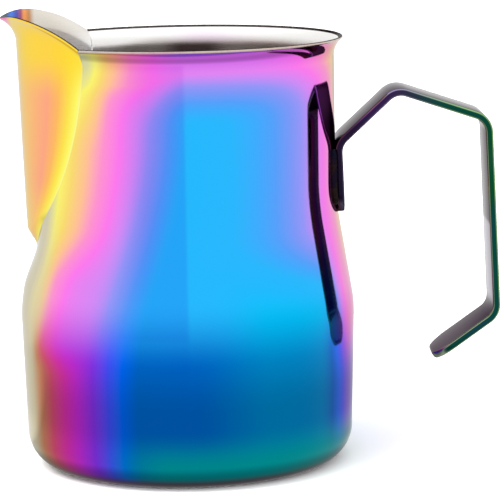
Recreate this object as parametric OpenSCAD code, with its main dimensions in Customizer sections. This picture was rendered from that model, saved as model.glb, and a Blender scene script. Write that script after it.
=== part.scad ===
// Milk frothing pitcher: a one-piece drawn steel jug, a pressed pouring beak
// welded into a V-cut in its neck, and an open handle bent from flat strap.
// Millimetres. Origin at the centre of the base, +Z up, beak towards -X and
// handle towards +X. The XZ plane is the plane of symmetry.

/* [Body] */
// Outside radius that the lower wall would have at the table
foot_r = 43.2; // [42:0.2:44]
// Outside radius at the waist, the widest ring
waist_r = 44.5; // [44:0.1:46]
// Height of the waist
waist_z = 42.4; // [38:0.2:46]
// Outside radius of the straight neck
neck_r = 39.9; // [38.5:0.1:41]
// Height at which the shoulder cone becomes the neck
neck_z = 70.6; // [66:0.2:74]
// Height at which the neck's edge begins to flare
flare_z = 108.2; // [104:0.2:114]
// Thickness of the drawn sheet
wall_t = 0.8; // [0.6:0.1:1.2]
// Outside radius of the corner between base and wall
corner_r = 9.5; // [6:0.5:12]
// Radius of the rounding at the waist
waist_bend_r = 34; // [15:1:50]
// Radius of the hollow where the shoulder meets the neck
neck_bend_r = 70; // [20:2:90]
// Radius of the mouth's outward flare
flare_r = 5.7; // [4:0.1:7]
// Angle through which the mouth's edge turns outward
flare_deg = 52; // [30:1:60]

/* [Beak] */
// Height of the lowest point of the V-cut
beak_low_z = 58; // [56:0.5:62]
// Half of the angle that the beak takes up at the mouth
beak_half_deg = 51; // [40:1:54]
// Height over which the V-cut opens to two thirds of its width
beak_open_h = 17; // [12:0.5:24]
// Outside radius of the beak's front line near its lower end
nose_low_r = 42.3; // [42:0.1:43]
// Outside radius of the beak's front line just under its lip
nose_top_r = 43.9; // [43.2:0.1:45]
// How far the beak's lip rises above the mouth
lip_rise = 7.6; // [5:0.2:9]
// How far the lip dips again at its tip
tip_dip = 1.2; // [0:0.1:2]
// Extra outward turn of the lip at its tip
tip_curl_deg = 16; // [0:1:20]
// Width of the weld between neck and beak
weld_w = 0.8; // [0.4:0.1:1.2]

/* [Handle] */
// Width of the strap
strap_w = 18.5; // [14:0.5:22]
// Thickness of the strap
strap_t = 2; // [1.6:0.1:3]
// Centreline radius of the strap's bends
strap_bend_r = 5; // [4:0.5:7]
// Height of the top corner
handle_top_z = 99.3; // [96:0.1:102]
// Height of the free lower end
handle_end_z = 27.4; // [24:0.2:32]
// Distance from the axis to the strap's centreline at the lower corner
grip_x = 81.9; // [78:0.1:90]
// Radius of the strap's end corners
strap_end_r = 6; // [1:0.5:8]
// Leg of the weld fillets along the foot of the handle
fillet_leg = 2; // [1.4:0.1:2.6]

/* [Hidden] */
$fn = 96;

// Steps in each bend of a path
bend_steps = 10;
// Columns, wall rows and lip rows of the beak's sheet
beak_cols = 28;
beak_wall_rows = 22;
beak_lip_rows = 8;
// Height of the beak's blunt lower end above the point of the V
beak_start = 1.4;
// Height above the point of the V at which the beak's front has its lower radius
nose_low_rise = 7;
// How late the lip's rise falls away towards the mouth, as a power
lip_fullness = 3.5;
// Least share of the outer width that the beak's inner face keeps at its lower end
min_inner_share = 0.3;
// The flare's last straight runs this little past the end of its bend
flare_overrun = 1.001;
// Heights between which the handle's foot is welded
weld_low_z = 71.5;
weld_top_z = 82.5;
// How deep the fillets reach into the neck before they are trimmed to it
weld_root = 2;
// How far the neck curves away under the outer toe of a fillet
toe_drop = 0.5;
// Larger than the whole pitcher, for shapes that only cut
beyond = 100;
// Radius of the lip's flare at the tip, beyond that of the mouth
tip_flare_extra = 1;
// Azimuth over which the tip's dip and curl fade
tip_spread_deg = 12;
// Height where the neck's flare ends
mouth_z = flare_z + flare_r * sin(flare_deg);
// Slope of the shoulder cone, radius lost for each millimetre of height
cone_slope = (waist_r - neck_r) / (neck_z - waist_z);
// How far the handle's free tail reaches back towards the body
tail_reach = 16.8;
// Corners of the strap's centreline, from the welded foot to the free end
foot_low = [41, 66.7];
foot_high = [40.4, 85.2];
top_corner = [55.7, handle_top_z];
outer_corner = [80, 91.1];
grip_corner = [grip_x, 39.2];
free_end = [grip_x - tail_reach, handle_end_z];

function along(a) = [cos(a), sin(a)];
function left_of(a) = [-sin(a), cos(a)];
function heading(p, q) = atan2(q[1] - p[1], q[0] - p[0]);
function turn(a, b) = b - a > 180 ? b - a - 360 : b - a < -180 ? b - a + 360 : b - a;

// Samples [x, y, heading] round the corner q between p and s
function bend(p, q, s, r) =
    let(a = heading(p, q), t = turn(a, heading(q, s)), side = sign(t))
    let(start = q - r * tan(abs(t) / 2) * along(a))
    let(centre = start + side * r * left_of(a))
    [for (i = [0:bend_steps])
        let(h = a + t * i / bend_steps, c = centre - side * r * left_of(h))
        [c[0], c[1], h]];

// Samples of a whole path through corners, each corner rounded to its radius
function route(pts, radii) =
    let(last = len(pts) - 1, h0 = heading(pts[0], pts[1]))
    let(h1 = heading(pts[last - 1], pts[last]))
    concat(
        [[pts[0][0], pts[0][1], h0]],
        [for (k = [1:last - 1]) each bend(pts[k - 1], pts[k], pts[k + 1], radii[k - 1])],
        [[pts[last][0], pts[last][1], h1]]
    );
function beside(path, d) = [for (s = path) [s[0], s[1]] + d * left_of(s[2])];
function reversed(list) = [for (i = [len(list) - 1:-1:0]) list[i]];
function band(path, d0, d1) = concat(beside(path, d0), reversed(beside(path, d1)));

// Outside profile of the drawn body, from the centre of the base to the mouth
flare_reach = flare_r * tan(flare_deg / 2);
flare_corner = [neck_r, flare_z + flare_reach];
body_path = route(
    [[0, 0], [foot_r, 0], [waist_r, waist_z], [neck_r, neck_z], flare_corner,
        flare_corner + flare_overrun * flare_reach * along(90 - flare_deg)],
    [corner_r, waist_bend_r, neck_bend_r, flare_r]
);

// Azimuth of the V-cut's edge at height z, measured from the beak's middle
function cut_deg(z) =
    beak_half_deg * (1 - exp(-(min(z, mouth_z) - beak_low_z) / beak_open_h))
    / (1 - exp(-(mouth_z - beak_low_z) / beak_open_h));
function body_r(z) = max(neck_r, neck_r + cone_slope * (neck_z - z));
nose_low_z = beak_low_z + nose_low_rise;
function nose_r(z) = nose_low_r + (nose_top_r - nose_low_r) * (z - nose_low_z) / (mouth_z - nose_low_z);
// Share of the beak's stand-out left at the fraction u of its half width
function bulge(u) = 1 - u * u;
function wall_r(u, z) = body_r(z) + max(0, nose_r(z) - body_r(z)) * bulge(u);
// Tip measures fade away from the middle of the beak
function near_tip(u) = exp(-pow(u * beak_half_deg / tip_spread_deg, 2));
function lip_flare_r(u) = flare_r + tip_flare_extra * near_tip(u);
function lip_deg(u) = flare_deg + tip_curl_deg * near_tip(u);
function lip_z(u) = mouth_z + lip_rise * (1 - pow(abs(u), lip_fullness)) - tip_dip * near_tip(u);
function lip_start_z(u) = lip_z(u) - lip_flare_r(u) * sin(lip_deg(u));

// A point of the beak's sheet, depth d under its outer face: [radius, z, azimuth]
function wall_point(u, row, d) =
    let(z0 = beak_low_z + beak_start, v = row / beak_wall_rows)
    let(z = z0 + (lip_start_z(u) - z0) * v)
    [wall_r(u, z) - d, z, u * cut_deg(z)];
function lip_point(u, row, d) =
    let(b = lip_deg(u) * row / beak_lip_rows, z0 = lip_start_z(u), r = lip_flare_r(u))
    let(z = z0 + r * sin(b))
    [wall_r(u, z0) + r * (1 - cos(b)) - d * cos(b), z + d * sin(b), u * cut_deg(z)];
function sheet_point(u, row, d) =
    row <= beak_wall_rows ? wall_point(u, row, d) : lip_point(u, row - beak_wall_rows, d);
function in_space(p) = [-p[0] * cos(p[2]), -p[0] * sin(p[2]), p[1]];

beak_rows = beak_wall_rows + beak_lip_rows;
// Edge of the V-cut seen from the side, as [x, z] for each row of the beak
cut_edge = [for (row = [0:beak_rows]) let(p = in_space(sheet_point(1, row, 0))) [p[0], p[2]]];
// The inner face is narrower, so that it ends on the same plane of the cut
function inner_deg(row) =
    let(p = sheet_point(1, row, wall_t))
    max(min_inner_share * p[2], acos(min(1, -cut_edge[row][0] / p[0])));
function inner_point(u, row) =
    let(p = sheet_point(u, row, wall_t))
    in_space([p[0], p[1], u * inner_deg(row)]);

// Everything on the beak's side of the cut, shifted towards the handle
module cut_prism(shift) {
    first = cut_edge[0];
    last = cut_edge[beak_rows];
    outline = concat(
        [[-beyond, first[1] - shift], [first[0] + shift, first[1] - shift]],
        [for (p = cut_edge) [p[0] + shift, p[1]]],
        [[last[0] + shift, last[1] + beyond], [-beyond, last[1] + beyond]]
    );
    rotate([90, 0, 0])
        linear_extrude(height = 2 * beyond, center = true)
            polygon(outline);
}

module drawn_wall() {
    rotate_extrude()
        polygon(band(body_path, 0, wall_t));
}

module body_space() {
    rotate_extrude()
        polygon(concat(beside(body_path, 0), [[0, mouth_z]]));
}

module body_shell() {
    color("deepskyblue")
        difference() {
            drawn_wall();
            cut_prism(weld_w);
        }
}

module beak_weld() {
    color("gold")
        difference() {
            intersection() {
                drawn_wall();
                cut_prism(weld_w);
            }
            cut_prism(0);
        }
}

module beak() {
    cols = beak_cols + 1;
    side = cols * (beak_rows + 1);
    us = [for (c = [0:beak_cols]) 2 * c / beak_cols - 1];
    outer = [for (row = [0:beak_rows]) for (u = us) in_space(sheet_point(u, row, 0))];
    inner = [for (row = [0:beak_rows]) for (u = us) inner_point(u, row)];
    outer_faces = [
        for (row = [0:beak_rows - 1]) for (c = [0:beak_cols - 1])
            let(i = row * cols + c)
            each [[i, i + cols, i + 1], [i + 1, i + cols, i + cols + 1]]
    ];
    inner_faces = [for (f = outer_faces) [f[2] + side, f[1] + side, f[0] + side]];
    ends = [
        for (c = [0:beak_cols - 1])
            let(top = beak_rows * cols + c)
            each [
                [c, c + 1, c + side], [c + 1, c + 1 + side, c + side],
                [top + 1, top, top + side], [top + 1, top + side, top + 1 + side]
            ]
    ];
    sides = [
        for (row = [0:beak_rows - 1])
            let(a = row * cols, b = a + beak_cols)
            each [
                [a + cols, a, a + side], [a + cols, a + side, a + cols + side],
                [b, b + cols, b + side], [b + cols, b + cols + side, b + side]
            ]
    ];
    color("orange")
        polyhedron(points = concat(outer, inner), faces = concat(outer_faces, inner_faces, ends, sides));
}

// Rounds off both corners of a strap end at p that points along angle a
module strap_end_cut(p, a) {
    margin = 2;
    deep = strap_t + 2 * margin;
    translate([p[0], 0, p[1]])
        rotate([0, -a, 0])
            linear_extrude(height = deep, center = true)
                for (s = [-1, 1])
                    scale([1, s])
                        difference() {
                            translate([-strap_end_r, strap_w / 2 - strap_end_r])
                                square([strap_end_r + margin, strap_end_r + margin]);
                            translate([-strap_end_r, strap_w / 2 - strap_end_r])
                                circle(r = strap_end_r);
                        }
}

module handle() {
    corners = [foot_low, foot_high, top_corner, outer_corner, grip_corner, free_end];
    radii = [for (k = [1:4]) strap_bend_r];
    strap_path = route(corners, radii);
    color("slategray")
        difference() {
            rotate([90, 0, 0])
                linear_extrude(height = strap_w, center = true)
                    polygon(band(strap_path, strap_t / 2, -strap_t / 2));
            body_space();
            strap_end_cut(foot_low, heading(foot_high, foot_low));
            strap_end_cut(free_end, heading(grip_corner, free_end));
        }
}

module handle_weld() {
    half = strap_w / 2;
    neck_x = sqrt(neck_r * neck_r - half * half);
    color("dimgray")
        for (s = [-1, 1])
            difference() {
                translate([0, 0, weld_low_z])
                    linear_extrude(height = weld_top_z - weld_low_z)
                        polygon([
                            [neck_x - weld_root, s * half],
                            [neck_x + fillet_leg, s * half],
                            [neck_x - toe_drop, s * (half + fillet_leg)],
                            [neck_x - weld_root, s * (half + fillet_leg)]
                        ]);
                cylinder(r = neck_r, h = flare_z, $fn = 720);
            }
}

body_shell();
beak();
beak_weld();
handle();
handle_weld();
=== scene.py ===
"""Looks of the milk frothing pitcher: a mirror-polished steel jug with an interference tint.

The scene is in metres in the CAD frame: origin at the centre of the base, +Z up, beak
towards -X, handle towards +X. Sizes are named in millimetres. The smooth meshes below
follow the same rules as the CAD solids that they replace, and stay inside their box.
"""

import math
from types import SimpleNamespace

import bmesh
import bpy
import numpy as np
from mathutils import Matrix, Vector


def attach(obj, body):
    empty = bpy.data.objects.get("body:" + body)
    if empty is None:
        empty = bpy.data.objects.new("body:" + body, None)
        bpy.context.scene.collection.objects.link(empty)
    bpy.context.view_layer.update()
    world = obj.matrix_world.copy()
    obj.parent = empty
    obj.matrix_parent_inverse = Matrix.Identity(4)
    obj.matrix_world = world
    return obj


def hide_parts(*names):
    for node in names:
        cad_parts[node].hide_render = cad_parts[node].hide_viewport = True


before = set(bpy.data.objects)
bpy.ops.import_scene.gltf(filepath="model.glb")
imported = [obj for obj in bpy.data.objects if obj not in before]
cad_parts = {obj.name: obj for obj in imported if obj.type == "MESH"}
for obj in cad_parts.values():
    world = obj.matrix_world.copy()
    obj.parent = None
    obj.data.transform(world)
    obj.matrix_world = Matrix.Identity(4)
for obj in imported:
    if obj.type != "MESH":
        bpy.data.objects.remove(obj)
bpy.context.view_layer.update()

MM = 0.001

# ---------------------------------------------------------------- sizes, in millimetres
FOOT_R = 43.2          # outside radius that the lower wall would have at the table
WAIST_R = 44.48        # just under the CAD's, to stay inside its faceted box
WAIST_Z = 42.4
NECK_R = 39.9
NECK_Z = 70.6
FLARE_Z = 108.2        # where the mouth begins to flare
FLARE_R = 5.7
FLARE_DEG = 52.0
WALL_T = 0.8
CORNER_R = 9.5
WAIST_BEND_R = 34.0
NECK_BEND_R = 70.0
MOUTH_Z = FLARE_Z + FLARE_R * math.sin(math.radians(FLARE_DEG))

BEAK_LOW_Z = 58.5      # lowest point of the V where beak and neck meet
BEAK_HALF_DEG = 51.0
BEAK_OPEN_H = 17.0
NOSE_LOW_R = 42.3
NOSE_LOW_Z = 65.0
NOSE_TOP_R = 43.9
NOSE_ONSET_H = 6.0     # height over which the beak stands out from the point of the V
NOSE_ONSET_POWER = 1.5
LIP_RISE = 7.5
LIP_FULLNESS = 3.5     # how late the lip's rise falls away, as a power
TIP_DIP = 1.2
TIP_CURL_DEG = 16.0
TIP_FLARE_EXTRA = 1.0
TIP_SPREAD_DEG = 12.0
TIP_ROUND_DEG = 3.0    # the tip's curl stops this much short, for its rounded edge

HOLLOW_DEPTH = 2.0     # how far the shoulder is drawn in under the beak
HOLLOW_DEG = 24.0
HOLLOW_LOW_Z = (47.5, 59.5)
HOLLOW_HIGH_Z = (61.0, 74.0)

STRAP_W = 18.46
STRAP_T = 1.98
STRAP_BEND_R = 5.0
STRAP_EDGE_R = 0.7
STRAP_END_R = 6.0
STRAP_CORNERS = [(41.0, 66.7), (40.4, 85.2), (55.7, 99.3), (80.0, 91.1), (81.9, 39.2), (65.1, 27.4)]

SEAM_MARGIN_DEG = 0.5  # the seam's bead ends this far short of the V's upper ends
SEAM_HALF_W = 0.55
SEAM_HALF_H = 0.10
SEAM_W_RIPPLE = 0.06
SEAM_H_RIPPLE = 0.02
SEAM_RIPPLES = 130
SEAM_TAPER = 0.03      # share of each half over which the bead thins to its end
SEAM_END_SHARE = 0.2

BEAD_LOW_Z = 69.4      # fillet beads along the handle's foot
BEAD_H = 14.6
BEAD_HALF_W = 1.15
BEAD_HALF_H = 0.75
BEAD_ASIDE = 0.25      # from the strap's edge to the bead's centreline
BEAD_PROUD = 0.45      # from the neck's surface to the bead's centreline
BEAD_FACING = (0.6, 0.8)
BEAD_RIPPLE = 0.07
BEAD_RIPPLES = 42
BEAD_END_POWER = 6
BEAD_END_SHARE = 0.02

# ---------------------------------------------------------------- fineness of the meshes
COLUMNS = 720          # round the body, two for each degree
BEND_STEPS = 48
LEVEL_ROWS_Z = 44.0    # up to here the body's rows are level; above, they follow the V
BASE_HOLE_R = 0.02     # the base's rings start here, and heal() closes the middle
BASE_ROWS = 8
ROW_H = 1.2
UPPER_ROWS = 90
UPPER_CROWDING = 1.5   # crowds the upper rows together towards the mouth
EDGE_STEPS = 8
EDGE_FADE_DEG = (BEAK_HALF_DEG - 0.6, BEAK_HALF_DEG + 0.4)
SHADED_ROWS = 7        # rows round the inner corner of the body's edge, in painted shade

BEAK_COLUMNS = 161
BEAK_START = 0.05      # the beak's first row, above the point of the V
BEAK_ROWS = 96
BEAK_CROWDING = 1.3
LIP_STEPS = 32

STRAP_BEND_STEPS = 24
STRAP_STEP = 1.0
STRAP_END_STEPS = 14
QUARTER_STEPS = 8
LEAST_R = 0.02
SEAM_COLUMNS = 181
BEAD_COLUMNS = 121
BEAD_STEPS = 10

# Numbers of the materials on both sheets
OUTSIDE, INSIDE, EDGE, SHADE = range(4)


# ---------------------------------------------------------------- paths and meshes
def heading(p, q):
    return math.atan2(q[1] - p[1], q[0] - p[0])


def route(points, radii, steps):
    """Samples (x, y, heading) along a path whose inner corners are rounded."""
    samples = [(*points[0], heading(points[0], points[1]))]
    for p, q, s, r in zip(points, points[1:], points[2:], radii):
        a = heading(p, q)
        t = (heading(q, s) - a + math.pi) % (2 * math.pi) - math.pi
        side = math.copysign(1.0, t)
        reach = r * math.tan(abs(t) / 2)
        cx = q[0] - reach * math.cos(a) - side * r * math.sin(a)
        cy = q[1] - reach * math.sin(a) + side * r * math.cos(a)
        for i in range(steps + 1):
            h = a + t * i / steps
            samples.append((cx + side * r * math.sin(h), cy - side * r * math.cos(h), h))
    samples.append((*points[-1], heading(points[-2], points[-1])))
    return samples


def smooth(x, low, high):
    """0 below low, 1 above high, and an even S between."""
    t = np.clip((np.asarray(x, float) - low) / (high - low), 0, 1)
    return t * t * (3 - 2 * t)


def grid_object(name, points, materials, material_rows, wrap_columns=False):
    """A smooth mesh over a grid of points [row, column, xyz], in millimetres.

    material_rows gives the material's number for each row of faces.
    """
    rows, columns = points.shape[:2]
    face_columns = columns if wrap_columns else columns - 1
    faces = []
    numbers = []
    for r in range(rows - 1):
        a = r * columns
        b = a + columns
        for c in range(face_columns):
            d = (c + 1) % columns
            faces.append((a + c, a + d, b + d, b + c))
            numbers.append(material_rows[r])
    mesh = bpy.data.meshes.new(name)
    mesh.from_pydata((points.reshape(-1, 3) * MM).tolist(), [], faces)
    for item in materials:
        mesh.materials.append(item)
    mesh.polygons.foreach_set("material_index", numbers)
    mesh.polygons.foreach_set("use_smooth", [True] * len(faces))
    mesh.update()
    piece = bpy.data.objects.new(name, mesh)
    bpy.context.scene.collection.objects.link(piece)
    return piece


def heal(piece):
    """Joins points that fall together, drops empty faces, closes holes and faces all outward."""
    same_point = 1e-7
    empty_edge = 1e-8
    sharp_deg = 40
    bm = bmesh.new()
    bm.from_mesh(piece.data)
    bmesh.ops.remove_doubles(bm, verts=bm.verts, dist=same_point)
    bmesh.ops.dissolve_degenerate(bm, edges=bm.edges, dist=empty_edge)
    holes = [e for e in bm.edges if e.is_boundary]
    if holes:
        bmesh.ops.holes_fill(bm, edges=holes)
    bmesh.ops.recalc_face_normals(bm, faces=bm.faces)
    bm.to_mesh(piece.data)
    bm.free()
    piece.data.set_sharp_from_angle(angle=math.radians(sharp_deg))


def join(name, pieces):
    """One object from several."""
    bpy.ops.object.select_all(action="DESELECT")
    for p in pieces:
        p.select_set(True)
    bpy.context.view_layer.objects.active = pieces[0]
    bpy.ops.object.join()
    pieces[0].name = name
    pieces[0].data.name = name
    return pieces[0]


# ---------------------------------------------------------------- the body's surface
flare_reach = FLARE_R * math.tan(math.radians(FLARE_DEG / 2))
flare_end = (
    NECK_R + flare_reach * math.sin(math.radians(FLARE_DEG)),
    FLARE_Z + flare_reach + flare_reach * math.cos(math.radians(FLARE_DEG)),
)
# The last sample only repeats the end of the flare's bend
body_path = np.array(route(
    [(0, 0), (FOOT_R, 0), (WAIST_R, WAIST_Z), (NECK_R, NECK_Z), (NECK_R, FLARE_Z + flare_reach), flare_end],
    [CORNER_R, WAIST_BEND_R, NECK_BEND_R, FLARE_R], BEND_STEPS))[:-1]
LEVEL = 1e-6           # headings up to this belong to the flat base
wall_path = body_path[body_path[:, 2] > LEVEL]


def profile(z):
    """Outside radius and slope (angle from upright) of the round body at height z."""
    heights = wall_path[:, 1]
    return np.interp(z, heights, wall_path[:, 0]), np.interp(z, heights, math.pi / 2 - wall_path[:, 2])


# How much of its final width the V has gained at the mouth, of an endless rise
V_SHARE = 1 - math.exp(-(MOUTH_Z - BEAK_LOW_Z) / BEAK_OPEN_H)


def cut_deg(z):
    """Azimuth from the beak's middle at which beak and neck meet at height z."""
    return BEAK_HALF_DEG * (1 - np.exp(-(np.minimum(z, MOUTH_Z) - BEAK_LOW_Z) / BEAK_OPEN_H)) / V_SHARE


def cut_z(deg):
    """Height at which beak and neck meet at this azimuth from the beak's middle."""
    share = np.clip(np.abs(deg) / BEAK_HALF_DEG, 0, 1)
    return BEAK_LOW_Z - BEAK_OPEN_H * np.log(1 - share * V_SHARE)


def hollow(deg, z):
    """How far the shoulder is drawn in under the beak."""
    return (HOLLOW_DEPTH * np.exp(-(np.asarray(deg) / HOLLOW_DEG) ** 2)
            * smooth(z, *HOLLOW_LOW_Z) * (1 - smooth(z, *HOLLOW_HIGH_Z)))


def body_radius(deg, z):
    return profile(z)[0] - hollow(deg, z)


def place(radius, deg, z):
    """Points at a radius, an azimuth from the beak's middle and a height."""
    a = np.radians(deg)
    radius, a, z = np.broadcast_arrays(radius, a, z)
    return np.stack([-radius * np.cos(a), -radius * np.sin(a), z], axis=-1)


def sheet_rows(radius, z, slope, deg, round_edge):
    """Outer rows, a rounded edge and inner rows of a sheet WALL_T thick, as one run.

    round_edge is 1 where the edge is fully round and 0 where it is cut square.
    """
    outer = place(radius, deg, z)
    inner = place(radius - WALL_T * np.cos(slope), deg, z + WALL_T * np.sin(slope))
    run = list(outer)
    half = WALL_T / 2
    s = slope[-1]
    mid_r = radius[-1] - half * np.cos(s)
    mid_z = z[-1] + half * np.sin(s)
    for i in range(1, EDGE_STEPS):
        a = math.pi * i / EDGE_STEPS
        across = half * math.cos(a)
        bulge = half * math.sin(a) * round_edge
        run.append(place(mid_r + across * np.cos(s) + bulge * np.sin(s), deg[-1],
                         mid_z - across * np.sin(s) + bulge * np.cos(s)))
    run.extend(inner[::-1])
    return np.array(run)


def level_rows():
    """Radius, height and slope of the body's level rows, from the base's centre to the waist."""
    low = body_path[body_path[:, 1] < LEVEL_ROWS_Z]
    corner_end = BEND_STEPS + 1
    wall = [low[1:corner_end + 1]]
    for a, b in zip(low[corner_end:], low[corner_end + 1:]):
        steps = max(1, int((b[1] - a[1]) / ROW_H))
        wall.append(np.array([a + (b - a) * i / steps for i in range(1, steps + 1)]))
    wall = np.concatenate(wall)
    base = [(r, 0.0, math.pi / 2) for r in np.linspace(BASE_HOLE_R, low[1, 0], BASE_ROWS)[:-1]]
    return np.array(base + [(r, z, math.pi / 2 - h) for r, z, h in wall])


def make_body(materials):
    """The drawn jug: one closed sheet from the base's centre up, over the edge and back."""
    deg = np.arange(COLUMNS) * 360 / COLUMNS - 180
    low = level_rows()
    start_z = low[-1, 1]
    top = np.where(np.abs(deg) < BEAK_HALF_DEG, cut_z(deg), MOUTH_Z)
    share = 1 - (1 - np.arange(1, UPPER_ROWS + 1) / UPPER_ROWS) ** UPPER_CROWDING
    upper_z = start_z + (top - start_z) * share[:, None]
    low_radius, low_z, low_slope = (np.repeat(low[:, k:k + 1], COLUMNS, axis=1) for k in range(3))
    radius = np.concatenate([low_radius, body_radius(deg, upper_z)])
    z = np.concatenate([low_z, upper_z])
    slope = np.concatenate([low_slope, profile(upper_z)[1]])
    run = sheet_rows(radius, z, slope, np.broadcast_to(deg, z.shape), smooth(np.abs(deg), *EDGE_FADE_DEG))
    numbers = [OUTSIDE] * (len(z) - 1) + [EDGE] * (EDGE_STEPS // 2) + [SHADE] * SHADED_ROWS
    numbers += [INSIDE] * (len(run) - 1 - len(numbers))
    piece = grid_object("jug_body", run, materials, numbers, wrap_columns=True)
    heal(piece)
    return piece


# ---------------------------------------------------------------- the beak
def near_tip(u):
    """1 at the beak's middle, fading towards both sides."""
    return np.exp(-(u * BEAK_HALF_DEG / TIP_SPREAD_DEG) ** 2)


def beak_radius(u, z):
    """Outside radius of the beak at the share u of its half width and height z."""
    under_flare = np.minimum(z, FLARE_Z)
    nose = NOSE_LOW_R + (NOSE_TOP_R - NOSE_LOW_R) * (z - NOSE_LOW_Z) / (MOUTH_Z - NOSE_LOW_Z)
    onset = np.sin(np.clip((z - BEAK_LOW_Z) / NOSE_ONSET_H, 0, 1) * math.pi / 2) ** NOSE_ONSET_POWER
    lift = (nose - body_radius(0, under_flare)) * onset
    return body_radius(u * cut_deg(z), under_flare) + lift * (1 - u * u)


def make_beak(materials):
    """The pressed beak: a sheet whose lower edges lie on the V and whose lip curls outward."""
    u = np.linspace(-1, 1, BEAK_COLUMNS)
    lip_r = FLARE_R + TIP_FLARE_EXTRA * near_tip(u)
    lip_a = np.radians(FLARE_DEG + (TIP_CURL_DEG - TIP_ROUND_DEG) * near_tip(u))
    lip_z = MOUTH_Z + LIP_RISE * (1 - np.abs(u) ** LIP_FULLNESS) - TIP_DIP * near_tip(u)
    lip_start = lip_z - lip_r * np.sin(lip_a)
    first = BEAK_LOW_Z + BEAK_START
    wall_share = (np.arange(BEAK_ROWS + 1) / BEAK_ROWS)[:, None] ** BEAK_CROWDING
    wall_z = first + (lip_start - first) * wall_share
    curl = lip_a * (np.arange(1, LIP_STEPS + 1) / LIP_STEPS)[:, None]
    curl_z = lip_start + lip_r * np.sin(curl)
    curl_radius = beak_radius(u, lip_start) + lip_r * (1 - np.cos(curl))
    radius = np.concatenate([beak_radius(u, wall_z), curl_radius])
    z = np.concatenate([wall_z, curl_z])
    slope = np.concatenate([np.zeros_like(wall_z), curl])
    run = sheet_rows(radius, z, slope, u * cut_deg(z), 1.0)
    bright_edge = EDGE_STEPS // 2
    numbers = [OUTSIDE] * (len(z) - 1 + bright_edge) + [SHADE] * (EDGE_STEPS - bright_edge)
    numbers += [INSIDE] * (len(run) - 1 - len(numbers))
    piece = grid_object("beak_sheet", run, materials, numbers)
    heal(piece)
    return piece


# ---------------------------------------------------------------- handle and welds
def fine_path(samples, step):
    """The path's samples with its straight stretches filled in."""
    fine = [samples[0]]
    for a, b in zip(samples, samples[1:]):
        parts = max(1, int(math.hypot(b[0] - a[0], b[1] - a[1]) / step))
        for i in range(1, parts + 1):
            fine.append(tuple(p + (q - p) * i / parts for p, q in zip(a, b)))
    return fine


def rounding(radius, depth):
    """How far a corner of this radius is cut back at this depth behind its end."""
    return radius - math.sqrt(max(0, radius ** 2 - max(0, radius - depth) ** 2))


def strap_ring(x, z, h, depth):
    """The strap's outline round a point of its centreline, this far from the nearer end."""
    edge = rounding(STRAP_EDGE_R, depth)
    r = max(STRAP_EDGE_R - edge, LEAST_R)
    half_w = STRAP_W / 2 - rounding(STRAP_END_R, depth) - edge - r
    half_t = STRAP_T / 2 - edge - r
    ring = []
    for quarter, (sw, st) in enumerate([(1, 1), (-1, 1), (-1, -1), (1, -1)]):
        for i in range(QUARTER_STEPS + 1):
            a = math.pi / 2 * (quarter + i / QUARTER_STEPS)
            w = sw * half_w + r * math.cos(a)
            t = st * half_t + r * math.sin(a)
            ring.append((x - t * math.sin(h), w, z + t * math.cos(h)))
    return ring


def make_handle(strap_material):
    """A flat strap with rounded edges, swept along its bent centreline."""
    bends = [STRAP_BEND_R] * (len(STRAP_CORNERS) - 2)
    path = np.array(fine_path(route(STRAP_CORNERS, bends, STRAP_BEND_STEPS), STRAP_STEP))
    length = np.concatenate([[0], np.cumsum(np.hypot(*np.diff(path[:, :2], axis=0).T))])
    ends = STRAP_END_R * (1 - np.cos(np.linspace(0, math.pi / 2, STRAP_END_STEPS + 1)))
    rings = []
    for s in np.unique(np.concatenate([ends, length, length[-1] - ends])):
        x, z, h = (np.interp(s, length, path[:, k]) for k in range(3))
        rings.append(strap_ring(x, z, h, min(s, length[-1] - s)))
    numbers = [0] * (len(rings) - 1)
    piece = grid_object("handle_strap", np.array(rings), [strap_material], numbers, wrap_columns=True)
    heal(piece)
    return piece


def sweep(name, line, normals, width, height, bead_material):
    """A bead: an ellipse of this half width and half height swept along a line."""
    along = np.gradient(line, axis=0)
    along /= np.linalg.norm(along, axis=1)[:, None]
    across = np.cross(along, normals)
    across /= np.linalg.norm(across, axis=1)[:, None]
    rings = []
    for i in range(BEAD_STEPS):
        a = 2 * math.pi * i / BEAD_STEPS
        rings.append(line + across * (np.cos(a) * width)[:, None] + normals * (np.sin(a) * height)[:, None])
    points = np.swapaxes(np.array(rings), 0, 1)
    piece = grid_object(name, points, [bead_material], [0] * (len(points) - 1), wrap_columns=True)
    heal(piece)
    return piece


def make_beak_weld(bead_material):
    """The dressed seam, a low bead along the V on the inside of the sheet."""
    side = np.linspace(-1, 1, SEAM_COLUMNS)
    deg = side * (BEAK_HALF_DEG - SEAM_MARGIN_DEG)
    z = cut_z(deg)
    line = place(body_radius(deg, z) - WALL_T, deg, z)
    normals = place(np.full_like(deg, -1.0), deg, 0 * z)
    taper = SEAM_END_SHARE + (1 - SEAM_END_SHARE) * smooth(1 - np.abs(side), 0, SEAM_TAPER)
    ripple = np.sin(side * SEAM_RIPPLES)
    width = (SEAM_HALF_W + SEAM_W_RIPPLE * ripple) * taper
    height = (SEAM_HALF_H + SEAM_H_RIPPLE * ripple) * taper
    return sweep("beak_seam", line, normals, width, height, bead_material)


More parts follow.
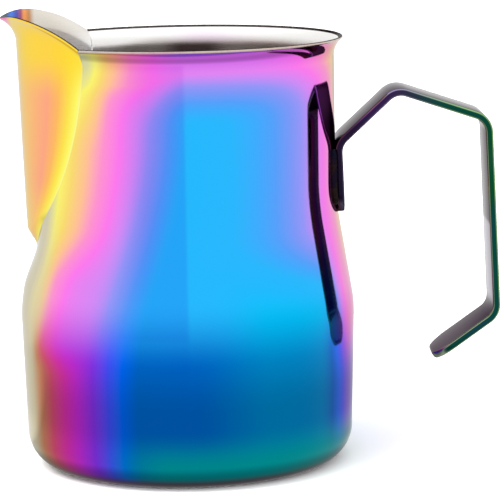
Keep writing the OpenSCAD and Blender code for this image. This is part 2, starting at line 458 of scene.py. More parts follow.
def make_handle_weld(bead_material):
    """Fillet beads along both edges of the handle's foot."""
    t = np.linspace(0, 1, BEAD_COLUMNS)
    z = BEAD_LOW_Z + BEAD_H * t
    y = (STRAP_W / 2 + BEAD_ASIDE) * np.ones_like(t)
    x = np.sqrt(profile(z)[0] ** 2 - y ** 2) + BEAD_PROUD
    taper = np.sqrt(np.clip(1 - np.abs(2 * t - 1) ** BEAD_END_POWER, 0, 1)) + BEAD_END_SHARE
    thickness = taper * (1 + BEAD_RIPPLE * np.abs(np.sin(t * BEAD_RIPPLES)))
    beads = []
    for side in (-1, 1):
        line = np.stack([x, side * y, z], axis=-1)
        normals = np.stack([BEAD_FACING[0] + 0 * t, side * BEAD_FACING[1] + 0 * t, 0 * t], axis=-1)
        beads.append(sweep("bead", line, normals, BEAD_HALF_W * thickness, BEAD_HALF_H * thickness,
                           bead_material))
    return join("handle_beads", beads)


# ---------------------------------------------------------------- node helpers
class Nodes:
    """Short calls that add and link nodes in one tree."""

    def __init__(self, tree):
        self.tree = tree
        tree.nodes.clear()

    def add(self, kind, inputs=None, **settings):
        node = self.tree.nodes.new(kind)
        for key, value in settings.items():
            setattr(node, key, value)
        for key, value in (inputs or {}).items():
            self.put(node.inputs[key], value)
        return node

    def put(self, socket, value):
        """Links another node's output to a socket, or sets the socket's own value."""
        if isinstance(value, bpy.types.NodeSocket):
            self.tree.links.new(value, socket)
        else:
            socket.default_value = value

    def math(self, operation, a, b=0.0, clamp=False):
        return self.add("ShaderNodeMath", {0: a, 1: b}, operation=operation, use_clamp=clamp).outputs[0]

    def total(self, first, *others):
        for value in others:
            first = self.math("ADD", first, value)
        return first

    def product(self, first, *others):
        for value in others:
            first = self.math("MULTIPLY", first, value)
        return first

    def span(self, value, low, high, to_low=0.0, to_high=1.0, kind="SMOOTHSTEP"):
        """Runs from to_low to to_high while value goes from low to high."""
        node = self.add("ShaderNodeMapRange", interpolation_type=kind)
        sockets = ("Value", "From Min", "From Max", "To Min", "To Max")
        for key, v in zip(sockets, (value, low, high, to_low, to_high)):
            self.put(node.inputs[key], v)
        return node.outputs["Result"]

    def mix(self, factor, a, b):
        node = self.add("ShaderNodeMix", data_type="RGBA")
        self.put(node.inputs[0], factor)
        self.put(node.inputs[6], a)
        self.put(node.inputs[7], b)
        return node.outputs[2]

    def ramp(self, factor, table, interpolation="EASE"):
        """Colours given as (position, display colour) pairs."""
        node = self.add("ShaderNodeValToRGB", {"Fac": factor})
        node.color_ramp.interpolation = interpolation
        elements = node.color_ramp.elements
        while len(elements) > 1:
            elements.remove(elements[-1])
        elements[0].position = table[0][0]
        elements[0].color = tint(*table[0][1])
        for position, colour in table[1:]:
            elements.new(position).color = tint(*colour)
        return node.outputs["Color"]

    def noise(self, vector, scale=1.0, detail=2.0, roughness=0.5):
        inputs = {"Vector": vector, "Scale": scale, "Detail": detail, "Roughness": roughness}
        return self.add("ShaderNodeTexNoise", inputs).outputs["Fac"]

    def combine(self, x, y, z):
        return self.add("ShaderNodeCombineXYZ", {0: x, 1: y, 2: z}).outputs[0]

    def separate(self, vector):
        return self.add("ShaderNodeSeparateXYZ", {0: vector}).outputs

    def length(self, vector):
        return self.add("ShaderNodeVectorMath", {0: vector}, operation="LENGTH").outputs["Value"]

    def bump(self, height, strength, distance):
        inputs = {"Strength": strength, "Distance": distance, "Height": height}
        return self.add("ShaderNodeBump", inputs).outputs[0]

    def metal(self, base, roughness, **inputs):
        """Ends the tree in a metal with this base colour and roughness."""
        sockets = {"Base Color": base, "Metallic": 1.0, "Roughness": roughness}
        sockets.update({key.replace("_", " "): value for key, value in inputs.items()})
        shader = self.add("ShaderNodeBsdfPrincipled", sockets)
        self.add("ShaderNodeOutputMaterial", {"Surface": shader.outputs[0]})


def material(name):
    m = bpy.data.materials.new(name)
    m.use_nodes = True
    return m, Nodes(m.node_tree)


def frame_coordinates(n):
    """Where a shaded point lies in the part's own frame.

    co is in metres, x, y and z in millimetres. side is an angle in degrees: -90 at the
    beak, 0 half way round and +90 at the handle, the same in front and behind.
    """
    co = n.add("ShaderNodeTexCoord").outputs["Object"]
    x, y, z = (n.math("DIVIDE", part, MM) for part in n.separate(co))
    side = n.math("DEGREES", n.math("ARCTAN2", x, n.math("ABSOLUTE", y)))
    return SimpleNamespace(co=co, x=x, y=y, z=z, side=side)


# ---------------------------------------------------------------- colours of the film
def tint(r, g, b):
    """A colour given as display values from 0 to 255, as linear RGBA."""
    def linear(v):
        v /= 255
        return v / 12.92 if v <= 0.04045 else ((v + 0.055) / 1.055) ** 2.4
    return linear(r), linear(g), linear(b), 1.0


FILM_SPAN = 66.0       # the film's full range, in degrees of turn round the neck
FILM_START = -6.0


def stops(table):
    """Film stops given in degrees, as ramp positions."""
    return [((degrees - FILM_START) / FILM_SPAN, colour) for degrees, colour in table]


# Interference colours in the order in which a growing film shows them
FILM = stops([
    (-6, (4, 196, 250)),
    (-2, (34, 186, 253)),
    (2, (43, 183, 253)),
    (5, (64, 171, 253)),
    (8, (86, 160, 251)),
    (12, (126, 152, 248)),
    (15, (150, 150, 248)),
    (20, (212, 138, 246)),
    (26, (253, 121, 238)),
    (33, (254, 147, 208)),
    (40, (255, 193, 148)),
    (47, (250, 219, 112)),
    (53, (252, 244, 110)),
    (57, (226, 224, 150)),
    (60, (196, 200, 170)),
])

# The same order, darker, low on the wall and under the mouth's edge: a thicker film's colours, darkened as
# painted shade
DEEP = stops([
    (-6, (0, 136, 200)),
    (0, (0, 103, 200)),
    (6, (0, 103, 245)),
    (11, (67, 79, 250)),
    (17, (134, 52, 232)),
    (24, (195, 44, 210)),
    (30, (215, 48, 168)),
    (37, (212, 72, 112)),
    (44, (196, 120, 82)),
    (52, (190, 178, 138)),
    (60, (180, 182, 152)),
])

# Across the beak, from its middle (0) to the seam (1)
BEAK = [
    (0.00, (238, 206, 132)),
    (0.15, (250, 205, 112)),
    (0.33, (255, 202, 106)),
    (0.53, (255, 182, 121)),
    (0.68, (254, 167, 131)),
    (0.80, (254, 186, 98)),
    (0.90, (253, 226, 80)),
    (0.97, (254, 249, 104)),
    (1.00, (252, 250, 150)),
]

# Along the lip's inside, from bare steel (0) to the beak's tip (1)
TIP = [
    (0.00, (188, 170, 140)),
    (0.20, (190, 130, 70)),
    (0.38, (240, 150, 70)),
    (0.50, (150, 60, 110)),
    (0.62, (60, 60, 170)),
    (0.80, (30, 110, 220)),
    (1.00, (20, 60, 80)),
]

TEAL_FILM_AND_REFLECTION = tint(0, 160, 152)
# painted shade: the contact shadow mirrored at the very foot
DARK_FOOT = tint(92, 34, 70)
FLANK_SHADE_BEIGE = tint(222, 208, 178)
NECK_DARK_BAND = tint(44, 36, 46)
BEAK_FOOT = tint(252, 224, 96)
BEAK_TOP = tint(255, 220, 54)
BEAK_CURL = tint(250, 110, 190)

# Tint of mirror images at a glancing angle
FILM_GLANCE = (0.82, 0.82, 0.78, 1)
STRAP_GLANCE = (0.42, 0.39, 0.41, 1)
GRIP_GLANCE = (0.97, 0.93, 1.0, 1)
SHADE_GLANCE = (0.3, 0.3, 0.3, 1)


def polish(n, co, base, rough, glance, scratch=0.012):
    """A mirror-polished metal: faint circular polishing lines and slight haze.

    rough is the least roughness, and scratch what the lines add to it.
    """
    haze_rough = 0.05
    across_lines = 60.0
    along_axis = 5200.0
    x, y, z = n.separate(co)
    ring = n.length(n.combine(x, y, 0.0))
    grooves = n.combine(n.product(ring, across_lines), 0.0, n.product(z, along_axis))
    lines = n.noise(grooves, detail=3.0)
    haze = n.noise(co, scale=42.0, detail=4.0, roughness=0.6)
    hazy = n.span(haze, 0.35, 0.75, rough, rough + haze_rough)
    normal = n.bump(lines, strength=0.035, distance=0.00002)
    n.metal(base, n.total(hazy, n.product(lines, scratch)), Normal=normal, Specular_Tint=glance)


# ---------------------------------------------------------------- the jug's outside
# Heights (Z) are in millimetres, angles (DEG) are side angles and growths are in
# degrees of turn. A pair gives the two places between which a change takes place.
LAG_Z = (95.0, 25.0)               # going down, the colours slip towards the beak
LAG_DEG = (-2.5, 17.5)
SHELF_START = (16.0, 36.0)         # growth over which the shoulder's pink is held back
SHELF_STOP = (42.0, 56.0)
SHELF_GROWTH = 9.0
SHELF_LOW_Z = (28.0, 38.0)
SHELF_HIGH_Z = (68.0, 52.0)
EARLY_DEG = (-26.0, -38.0)         # high on the neck, yellow comes early by the beak
EARLY_Z = (86.0, 102.0)
NEAR_RIM_DEG = (-8.0, -34.0)       # and earlier still just under the rim
NEAR_RIM_STOP_DEG = (-46.0, -36.0)
NEAR_RIM_Z = (100.0, 110.0)
EARLY_GROWTH = 7.0
UPPER_Z = (42.0, 66.0)             # from the lower wall's film to the neck's
HANDLE_REACH_DEG = 45.4            # towards the handle the neck's film grows again
HANDLE_POWER = 1.9
HANDLE_GROWTH = 13.3
MARGIN_DEG = (50.0, 74.0)          # and the lower wall's has a margin of its own
MARGIN_GROWTH = 36.0
MARGIN_Z = (24.0, 42.0)
MARGIN_LOW_SHARE = 0.6
TOP_Z = (93.0, 107.5)              # towards the mouth it grows everywhere
TOP_LEAD_DEG = (2.0, -16.0)
TOP_LEAD = 3.0
TOP_POWER = 1.45
TOP_GROWTH = 22.0
COOL_DEG = (0.0, 30.0)             # low on the right it is thinner
COOL_GROWTH = -6.0
WOBBLE_GROWTH = 2.0
DEEP_Z = (50.0, 32.0)              # where the thicker film and its painted shade begin, low on the wall
RIM_FILM_AND_SHADE_Z = (107.0, 111.4)        # and under the mouth's edge
RIM_FILM_AND_SHADE_DEG = (-46.0, -26.0)
RIM_FILM_AND_SHADE_SHARE = 0.45
TEAL_Z = (17.0, 6.5)
TEAL_DEG = (-34.0, -6.0)
TEAL_SHARE = 0.85
# the painted contact shadow at the very foot
FOOT_Z = (3.8, 1.6)
FOOT_SHARE = 0.85
# painted shade on the neck beside the beak, low down
BEIGE_DEG = (-52.0, -66.0)
BEIGE_INSET_Z = (46.0, 30.0)
BEIGE_INSET_DEG = 11.0
BEIGE_Z = (80.0, 62.0)
BEIGE_SHARE = 0.75
NECK_BAND_DEG = (75.0, 84.0)            # the narrow dark band painted above the handle's foot
NECK_BAND_LOW_Z = (80.0, 86.0)
NECK_BAND_HIGH_Z = (108.0, 111.0)
NECK_BAND_SHARE = 0.95
MIRROR_ROUGH = 0.045


def growth_to_beak(n, at):
    """How far the body's film has grown towards the beak."""
    lag = n.span(at.z, *LAG_Z, *LAG_DEG)
    left = n.math("MAXIMUM", n.math("SUBTRACT", n.product(at.side, -1.0), lag), 0.0)
    shelf = n.product(n.span(left, *SHELF_START, 0.0, SHELF_GROWTH), n.span(left, *SHELF_STOP, 1.0, 0.0),
                      n.span(at.z, *SHELF_LOW_Z), n.span(at.z, *SHELF_HIGH_Z))
    early = n.product(n.span(at.side, *EARLY_DEG), n.span(at.z, *EARLY_Z, 0.0, EARLY_GROWTH))
    near_rim = n.product(n.span(at.side, *NEAR_RIM_DEG), n.span(at.side, *NEAR_RIM_STOP_DEG),
                         n.span(at.z, *NEAR_RIM_Z, 0.0, EARLY_GROWTH))
    return n.total(n.math("SUBTRACT", left, shelf), early, near_rim)


def growth_to_handle(n, at, upper, lower):
    """How far the body's film has grown towards the handle."""
    turned = n.math("DIVIDE", n.math("MAXIMUM", at.side, 0.0), HANDLE_REACH_DEG)
    neck = n.product(n.math("POWER", turned, HANDLE_POWER), HANDLE_GROWTH, upper)
    wall = n.product(n.span(at.side, *MARGIN_DEG, 0.0, MARGIN_GROWTH), lower,
                     n.span(at.z, *MARGIN_Z, MARGIN_LOW_SHARE, 1.0))
    return n.total(neck, wall)


def growth_to_mouth(n, at):
    """How far the body's film has grown towards the mouth."""
    lead = n.total(at.z, n.span(at.side, *TOP_LEAD_DEG, 0.0, TOP_LEAD))
    return n.product(n.math("POWER", n.span(lead, *TOP_Z, kind="LINEAR"), TOP_POWER), TOP_GROWTH)


def film_position(n, at):
    """The body's film as a position on the ramps FILM and DEEP."""
    upper = n.span(at.z, *UPPER_Z)
    lower = n.math("SUBTRACT", 1.0, upper)
    turn = n.total(growth_to_beak(n, at), growth_to_handle(n, at, upper, lower))
    top = growth_to_mouth(n, at)
    grown = n.math("SQRT", n.total(n.product(turn, turn), n.product(top, top)))
    cool = n.product(n.span(at.side, *COOL_DEG, 0.0, COOL_GROWTH), lower)
    drift = n.math("SUBTRACT", n.noise(at.co, scale=16.0), 0.5)
    degrees = n.total(grown, cool, n.product(drift, WOBBLE_GROWTH))
    return n.math("DIVIDE", n.math("SUBTRACT", degrees, FILM_START), FILM_SPAN, clamp=True)


def film_bands_and_painted_shade(n, at, base):
    """Over the film: a teal ring, partly painted reflection, a dark line of painted shade at the foot, a
    beige flank of painted shade beside the beak and a narrow dark band above the handle's foot.
    """
    # A teal ring low on the front: the film's teal, lightened as a painted reflection of the pale table.
    teal = n.product(n.span(at.z, *TEAL_Z), n.span(at.side, *TEAL_DEG, 0.0, TEAL_SHARE))
    base = n.mix(teal, base, TEAL_FILM_AND_REFLECTION)
    # A dark line at the very foot: painted shade, the contact shadow mirrored there.
    base = n.mix(n.span(at.z, *FOOT_Z, 0.0, FOOT_SHARE), base, DARK_FOOT)
    # Beside the beak, low on the neck, a greyish beige: painted shade, the darker surroundings mirrored next
    # to the crease.
    inset = n.total(at.side, n.span(at.z, *BEIGE_INSET_Z, 0.0, BEIGE_INSET_DEG))
    beige = n.product(n.span(inset, *BEIGE_DEG, 0.0, BEIGE_SHARE), n.span(at.z, *BEIGE_Z))
    base = n.mix(beige, base, FLANK_SHADE_BEIGE)
    # Then a narrow dark band, painted on the neck above the handle's foot.
    heat = n.product(n.span(at.side, *NECK_BAND_DEG), n.span(at.z, *NECK_BAND_LOW_Z),
                     n.span(at.z, *NECK_BAND_HIGH_Z, NECK_BAND_SHARE, 0.0))
    return n.mix(heat, base, NECK_DARK_BAND)


def tinted_body():
    """The jug's outside: the film grows from blue at the front to yellow at the beak."""
    m, n = material("tinted_steel_body")
    at = frame_coordinates(n)
    film = film_position(n, at)
    # Low on the wall and under the mouth's edge the darker DEEP colours take over: a thicker film, darkened
    # as painted shade.
    rim_film_and_shade = n.product(n.span(at.z, *RIM_FILM_AND_SHADE_Z, 0.0, RIM_FILM_AND_SHADE_SHARE), n.span(at.side, *RIM_FILM_AND_SHADE_DEG))
    thick = n.total(n.span(at.z, *DEEP_Z), rim_film_and_shade)
    base = n.mix(thick, n.ramp(film, FILM, "LINEAR"), n.ramp(film, DEEP, "LINEAR"))
    polish(n, at.co, film_bands_and_painted_shade(n, at, base), MIRROR_ROUGH, FILM_GLANCE)
    return m


# ---------------------------------------------------------------- the beak's outside
BEAK_FOOT_Z = (80.0, 66.0)
BEAK_FOOT_SHARE = 0.5
BEAK_TOP_Z = (99.0, 112.0)
BEAK_TOP_SHARE = 0.85
CURL_X = (-44.3, -46.2)
CURL_Z = (114.5, 117.0)
BEAK_WOBBLE = 0.03


def tinted_beak():
    """The beak's outside: an orange field in each flank, bright yellow by the seam, a pink tip."""
    m, n = material("tinted_steel_beak")
    at = frame_coordinates(n)
    above = n.math("SUBTRACT", n.math("MINIMUM", at.z, MOUTH_Z), BEAK_LOW_Z)
    opened = n.math("SUBTRACT", 1.0, n.math("EXPONENT", n.math("DIVIDE", above, -BEAK_OPEN_H)))
    half_deg = n.math("MAXIMUM", n.product(opened, BEAK_HALF_DEG / V_SHARE), 1.0)
    drift = n.math("SUBTRACT", n.noise(at.co, scale=16.0), 0.5)
    from_middle = n.math("DIVIDE", n.total(at.side, 90.0), half_deg)
    share = n.math("ADD", from_middle, n.product(drift, BEAK_WOBBLE), clamp=True)
    base = n.ramp(share, BEAK, "LINEAR")
    base = n.mix(n.span(at.z, *BEAK_FOOT_Z, 0.0, BEAK_FOOT_SHARE), base, BEAK_FOOT)
    base = n.mix(n.span(at.z, *BEAK_TOP_Z, 0.0, BEAK_TOP_SHARE), base, BEAK_TOP)
    base = n.mix(n.product(n.span(at.x, *CURL_X), n.span(at.z, *CURL_Z)), base, BEAK_CURL)
    polish(n, at.co, base, MIRROR_ROUGH, FILM_GLANCE)
    return m


# ---------------------------------------------------------------- bare steel
BRUSHED_LIGHT = (0.66, 0.63, 0.60, 1)
BRUSHED_DARK = (0.40, 0.37, 0.35, 1)
STAINED = (0.46, 0.40, 0.33, 1)
# Near white: a painted highlight high inside the mouth and by the beak's seam
PAINTED_HIGHLIGHT = (0.93, 0.92, 0.90, 1)
WARM = (0.80, 0.74, 0.63, 1)
SHADOW = (0.14, 0.10, 0.10, 1)

SHADOW_X = 3.0                     # middle of the dark band inside the mouth
SHADOW_HALF_W = (3.0, 11.0)
SHADOW_SIDE_SHARE = 0.3
SHADOW_LOW_Z = (88.0, 104.0)
SHADOW_HIGH_Z = (107.6, 110.0)
BRIGHT_Z = (108.6, 111.0)
BRIGHT_SHARE = 0.9
LEVEL_X = (-6.0, -30.0)            # towards the beak both levels fall
LEVEL_DROP = 3.0

WARM_Z = (104.0, 112.0)
WARM_SHARE = 0.6
SEAM_BRIGHT_DEG = (-60.0, -42.0)
SEAM_BRIGHT_Z = (114.0, 109.0)
SEAM_BRIGHT_TOP = 0.35
TIP_REACH = (38.5, 46.6)
TIP_SPREAD = -0.05
TIP_ONSET = (0.0, 0.25)
TIP_Z = (109.0, 115.5)


def jug_inside(n, at, base):
    """Inside the mouth: painted shade, a dark band across the far wall, and a painted highlight, a bright
    edge above it.
    """
    level = n.total(at.z, n.span(at.x, *LEVEL_X, 0.0, LEVEL_DROP))
    off_middle = n.math("ABSOLUTE", n.math("SUBTRACT", at.x, SHADOW_X))
    band = n.product(n.span(off_middle, *SHADOW_HALF_W, 1.0, SHADOW_SIDE_SHARE),
                     n.span(level, *SHADOW_HIGH_Z, 1.0, 0.0), n.span(at.z, *SHADOW_LOW_Z))
    base = n.mix(band, base, SHADOW)
    return n.mix(n.span(level, *BRIGHT_Z, 0.0, BRIGHT_SHARE), base, PAINTED_HIGHLIGHT)


def beak_inside(n, at, base):
    """Inside the beak: warm steel, a painted highlight by the seam, and a tinted tip."""
    base = n.mix(n.span(at.z, *WARM_Z, 0.0, WARM_SHARE), base, WARM)
    seam_highlight = n.product(n.span(at.side, *SEAM_BRIGHT_DEG), n.span(at.z, *SEAM_BRIGHT_Z, SEAM_BRIGHT_TOP, 1.0))
    base = n.mix(seam_highlight, base, PAINTED_HIGHLIGHT)
    reach = n.total(n.product(at.x, -1.0), n.product(n.math("ABSOLUTE", at.y), TIP_SPREAD))
    share = n.span(reach, *TIP_REACH, kind="LINEAR")
    return n.mix(n.product(n.span(share, *TIP_ONSET), n.span(at.z, *TIP_Z)), base, n.ramp(share, TIP))


def bare_steel(name, paint):
    """The inside: steel brushed round and round, with what paint adds to it."""
    m, n = material(name)
    at = frame_coordinates(n)
    grain = n.noise(n.combine(n.product(at.side, 0.03), 0.0, n.product(at.z, 5.0)), detail=6.0, roughness=0.7)
    fine = n.noise(n.combine(n.product(at.side, 0.12), 3.0, n.product(at.z, 17.0)), detail=3.0, roughness=0.6)
    stain = n.noise(at.co, scale=60.0, detail=4.0, roughness=0.6)
    base = n.mix(n.product(grain, 0.5), BRUSHED_LIGHT, BRUSHED_DARK)
    base = n.mix(n.span(stain, 0.45, 0.8, 0.0, 0.25), base, STAINED)
    base = paint(n, at, base)
    normal = n.bump(grain, strength=0.25, distance=0.00004)
    tangent = n.add("ShaderNodeTangent", direction_type="RADIAL", axis="Z").outputs[0]
    n.metal(base, n.span(fine, 0.3, 0.7, 0.24, 0.40), Normal=normal, Anisotropic=0.55, Tangent=tangent)
    return m


def edge_steel():
    """The sheet's cut edge: bright, finely ground, with a trace of tint."""
    light, dark = (0.80, 0.74, 0.66, 1), (0.45, 0.42, 0.44, 1)
    copper = (0.62, 0.40, 0.30, 1)
    m, n = material("edge_steel")
    at = frame_coordinates(n)
    grain = n.noise(at.co, scale=900.0, detail=4.0, roughness=0.7)
    base = n.mix(n.span(at.side, -60.0, 20.0, 0.2, 0.45), n.mix(grain, light, dark), copper)
    normal = n.bump(grain, strength=0.2, distance=0.00002)
    n.metal(base, n.span(grain, 0.3, 0.7, 0.12, 0.25), Normal=normal)
    return m


def shaded_edge():
    """The sheet's inner corner: painted shade, a dark line round the inside of the edge."""
    shade_dark, shade_grey = (0.030, 0.026, 0.034, 1), (0.11, 0.09, 0.08, 1)
    m, n = material("shaded_edge_steel")
    co = n.add("ShaderNodeTexCoord").outputs["Object"]
    grain = n.noise(co, scale=700.0, detail=4.0, roughness=0.7)
    n.metal(n.mix(grain, shade_dark, shade_grey), n.span(grain, 0.3, 0.7, 0.2, 0.35), Specular_Tint=SHADE_GLANCE)
    return m


# ---------------------------------------------------------------- strap and welds
STRAP_GREENS = [(0.25, (26, 62, 84)), (0.45, (10, 70, 62)), (0.6, (10, 74, 44)), (0.75, (36, 84, 70))]
STRAP_VIOLETS = [(0.3, (30, 26, 66)), (0.5, (58, 36, 76)), (0.7, (18, 28, 60))]
STRAP_FACES = [(0.3, (52, 42, 62)), (0.5, (46, 46, 50)), (0.7, (64, 50, 50))]
WELD_COLOURS = [(0.3, (22, 18, 20)), (0.45, (36, 28, 26)), (0.55, (26, 20, 34)), (0.7, (18, 22, 36))]
# painted reflection: the tail's wide faces made lighter towards the bottom
TAIL_FACE = tint(112, 104, 112)
# Painted highlights along the strap's rounded corners
GREEN_GLEAM = tint(150, 184, 124)
VIOLET_GLEAM = tint(150, 136, 178)
STRAP_FOOT = tint(20, 18, 26)

EDGE_Y = (STRAP_W / 2 - 0.75, STRAP_W / 2 - 0.45)
VIOLET_X = (70.0, 52.0)            # the edges turn violet towards the body
TAIL_Z = (42.0, 32.0)
GLEAM_FACING = (0.2, 0.5)          # the rounded corners for the painted highlight, by how far they face sideways
GLEAM_STOP = (0.96, 0.8)
GLEAM_X = (76.0, 50.0)
GLEAM_SHARE = 0.8
DARK_FOOT_X = (50.0, 43.0)
DARK_FOOT_SHARE = 0.7
PALE_HIGH_Z = (64.2, 62.6)         # the pale lower half of the grip's inner face
PALE_LOW_Z = (41.0, 44.0)
PALE_X = (81.9, 80.9)


def strap_edges(n, at, drift):
    """The strap's narrow edges: green and teal, violet towards the body."""
    return n.mix(n.span(at.x, *VIOLET_X), n.ramp(drift, STRAP_GREENS), n.ramp(drift, STRAP_VIOLETS))


def strap_corner(n):
    """Where the surface lies between the strap's edges and its wide faces, which carries the painted
    highlight.
    """
    normal = n.add("ShaderNodeTexCoord").outputs["Normal"]
    facing = n.math("ABSOLUTE", n.separate(normal)[1])
    return n.product(n.span(facing, *GLEAM_FACING), n.span(facing, *GLEAM_STOP))


def dark_strap():
    """The strap: a thick dark film, green and teal on the edges, mauve on the wide faces, with painted
    highlights along the rounded corners and the tail's faces painted lighter.
    """
    m, n = material("dark_steel_strap")
    at = frame_coordinates(n)
    drift = n.noise(at.co, scale=34.0)
    # Low on the tail the wide faces are painted lighter, a painted reflection.
    faces = n.mix(n.span(at.z, *TAIL_Z), n.ramp(drift, STRAP_FACES), TAIL_FACE)
    base = n.mix(n.span(n.math("ABSOLUTE", at.y), *EDGE_Y), faces, strap_edges(n, at, drift))
    gleam = n.mix(n.span(at.x, *GLEAM_X), GREEN_GLEAM, VIOLET_GLEAM)
    base = n.mix(n.product(strap_corner(n), GLEAM_SHARE), base, gleam)
    base = n.mix(n.span(at.x, *DARK_FOOT_X, 0.0, DARK_FOOT_SHARE), base, STRAP_FOOT)
    pale = n.product(n.span(at.z, *PALE_HIGH_Z), n.span(at.z, *PALE_LOW_Z), n.span(at.x, *PALE_X))
    polish(n, at.co, base, 0.06, n.mix(pale, STRAP_GLANCE, GRIP_GLANCE), scratch=0.02)
    return m


def weld_steel():
    """Weld metal: finely rippled, straw and violet from the heat, then polished."""
    ripples = 3.0
    m, n = material("weld_steel")
    at = frame_coordinates(n)
    drift = n.noise(at.co, scale=260.0, detail=3.0, roughness=0.6)
    ripple = n.noise(n.combine(0.0, 0.0, n.product(at.z, ripples)), detail=3.0)
    normal = n.bump(ripple, strength=0.4, distance=0.0001)
    n.metal(n.ramp(drift, WELD_COLOURS), n.span(drift, 0.3, 0.7, 0.2, 0.34), Normal=normal)
    return m


# ---------------------------------------------------------------- studio
# Directions round the horizon are in degrees, 0 towards the camera and positive to its
# right. Distances on the floor are in metres from the jug's axis.
WHITE = (1, 1, 1, 1)
MAUVE_WHITE = (0.92, 0.78, 0.95, 1)
MAUVE_FADE = (-56.0, -26.0)
MAUVE_STEP = (-1.5, 1.5)
SKY_RISE = (0.35, 0.95)
SKY_TOP = 1.35
SKY_FILL = 0.45                    # extra light on matte surfaces
FLOOR_R = 4.0
FLOOR_SIDES = 96
FLOOR_COLOUR_R = (0.10, 0.34)
FLOOR_DIM_R = (0.115, 0.20)
FLOOR_DIM = 0.60
FLOOR_LEFT = (-85.0, -115.0)       # from the left to the back the image is hardly dimmed
FLOOR_LEFT_LIGHT = 0.96
FLOOR_NEAR_R = (0.10, 0.072)
FLOOR_NEAR_LIGHT = 0.12
FLOOR_CONTACT_R = (0.040, 0.050)
FLOOR_CONTACT = 0.45
LAMP_AT = (-0.9, -0.5, 1.6)
LAMP_AIM = (0, 0, 0.05)
LAMP_SIZE = 1.2
LAMP_WATTS = 26.0
CAMERA_AT = (0.0, -0.79056, 0.1791)
CAMERA_YAW_PITCH_ROLL = (1.22, 8.83, -0.98)
SENSOR = 36.0
LENS = 216.0


def direction(n, x, y):
    return n.math("DEGREES", n.math("ARCTAN2", x, n.product(y, -1.0)))


def studio_colour(n, turn):
    """The studio's light round the horizon: white, and faintly mauve just left of the front."""
    mauve = n.product(n.span(turn, *MAUVE_FADE), n.span(turn, *MAUVE_STEP, 1.0, 0.0))
    return n.mix(mauve, WHITE, MAUVE_WHITE)


def make_world():
    """Even white light. Its colour step shows only in mirror images."""
    world = bpy.data.worlds.new("studio")
    bpy.context.scene.world = world
    world.use_nodes = True
    n = Nodes(world.node_tree)
    x, y, z = n.separate(n.add("ShaderNodeTexCoord").outputs["Generated"])
    path = n.add("ShaderNodeLightPath").outputs
    colour = n.mix(path["Is Glossy Ray"], WHITE, studio_colour(n, direction(n, x, y)))
    fill = n.product(path["Is Diffuse Ray"], SKY_FILL)
    strength = n.total(n.span(z, *SKY_RISE, 1.0, SKY_TOP), fill)
    back = n.add("ShaderNodeBackground", {"Color": colour, "Strength": strength})
    n.add("ShaderNodeOutputWorld", {"Surface": back.outputs[0]})


def floor_image(n, co):
    """The floor as the jug mirrors it, a glowing image with painted light and shade: dim close to the jug,
    lighter again right beside it.
    """
    x, y, _ = n.separate(co)
    far = n.length(co)
    turn = direction(n, x, y)
    colour = n.mix(n.span(far, *FLOOR_COLOUR_R), WHITE, studio_colour(n, turn))
    light = n.span(far, *FLOOR_DIM_R, FLOOR_DIM, 1.0)
    light = n.math("MAXIMUM", light, n.span(turn, *FLOOR_LEFT, 0.0, FLOOR_LEFT_LIGHT))
    light = n.total(light, n.product(n.span(far, *FLOOR_NEAR_R), FLOOR_NEAR_LIGHT))
    light = n.product(light, n.span(far, *FLOOR_CONTACT_R, FLOOR_CONTACT, 1.0))
    return n.add("ShaderNodeEmission", {"Color": colour, "Strength": light})


def make_floor():
    """A pale matte floor, which the jug mirrors as floor_image() says."""
    m, n = material("pale_floor")
    co = n.add("ShaderNodeTexCoord").outputs["Object"]
    paper = n.noise(co, scale=30.0, detail=3.0)
    pale = n.mix(paper, (0.93, 0.93, 0.93, 1), (0.96, 0.96, 0.96, 1))
    matte = n.add("ShaderNodeBsdfDiffuse", {"Color": pale, "Roughness": 0.9})
    glossy = n.add("ShaderNodeLightPath").outputs["Is Glossy Ray"]
    both = n.add("ShaderNodeMixShader", {0: glossy, 1: matte.outputs[0], 2: floor_image(n, co).outputs[0]})
    n.add("ShaderNodeOutputMaterial", {"Surface": both.outputs[0]})
    bpy.ops.mesh.primitive_circle_add(vertices=FLOOR_SIDES, radius=FLOOR_R, fill_type="NGON",
                                      location=(0, 0, 0))
    floor = bpy.context.object
    floor.name = "floor"
    floor.data.materials.append(m)


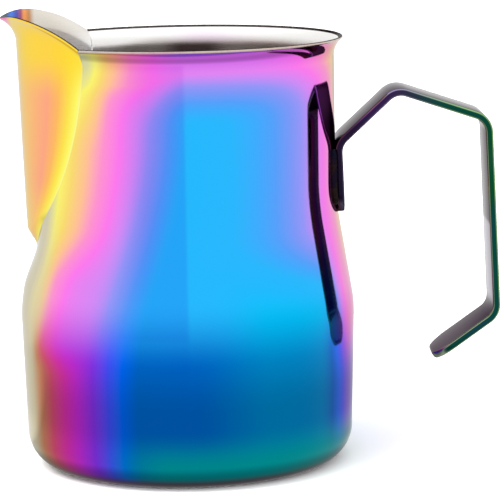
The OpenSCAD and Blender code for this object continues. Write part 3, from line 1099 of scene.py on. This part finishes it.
def make_lights():
    """One broad soft lamp high on the left and in front, for the floor and its faint shadow."""
    lamp = bpy.data.lights.new("soft_lamp", "AREA")
    lamp.shape = "DISK"
    lamp.size = LAMP_SIZE
    lamp.energy = LAMP_WATTS
    light = bpy.data.objects.new("soft_lamp", lamp)
    light.location = LAMP_AT
    light.rotation_euler = (Vector(LAMP_AIM) - light.location).to_track_quat("-Z", "Y").to_euler()
    light.visible_glossy = False
    bpy.context.scene.collection.objects.link(light)


def make_camera():
    """A long lens above the mouth, looking down at a point just right of the jug's axis."""
    yaw, pitch, roll = (math.radians(v) for v in CAMERA_YAW_PITCH_ROLL)
    forward = Vector((math.sin(yaw) * math.cos(pitch), math.cos(yaw) * math.cos(pitch), -math.sin(pitch)))
    right = Vector((math.cos(yaw), -math.sin(yaw), 0))
    up = right.cross(forward)
    x_axis = right * math.cos(roll) + up * math.sin(roll)
    y_axis = up * math.cos(roll) - right * math.sin(roll)
    data = bpy.data.cameras.new("camera")
    data.sensor_width = SENSOR
    data.lens = LENS
    camera = bpy.data.objects.new("camera", data)
    turn = Matrix((x_axis, y_axis, -forward)).transposed()
    camera.matrix_world = Matrix.Translation(Vector(CAMERA_AT)) @ turn.to_4x4()
    bpy.context.scene.collection.objects.link(camera)
    bpy.context.scene.camera = camera


# ---------------------------------------------------------------- the scene
make_camera()
make_world()
make_floor()
make_lights()
bpy.context.scene.view_settings.view_transform = "Standard"

edge = edge_steel()
shade = shaded_edge()
weld = weld_steel()
inner_body = bare_steel("bare_steel_inside", jug_inside)
inner_beak = bare_steel("bare_steel_beak", beak_inside)
pieces = [
    (make_body([tinted_body(), inner_body, edge, shade]), "body_shell", "tinted_steel"),
    (make_beak([tinted_beak(), inner_beak, edge, shade]), "beak", "tinted_steel"),
    (make_beak_weld(weld), "beak_weld", "weld_steel"),
    (make_handle(dark_strap()), "handle", "dark_steel"),
    (make_handle_weld(weld), "handle_weld", "weld_steel"),
]
for piece, node, slot in pieces:
    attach(piece, "root")
    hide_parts(node)

bpy.context.view_layer.update()
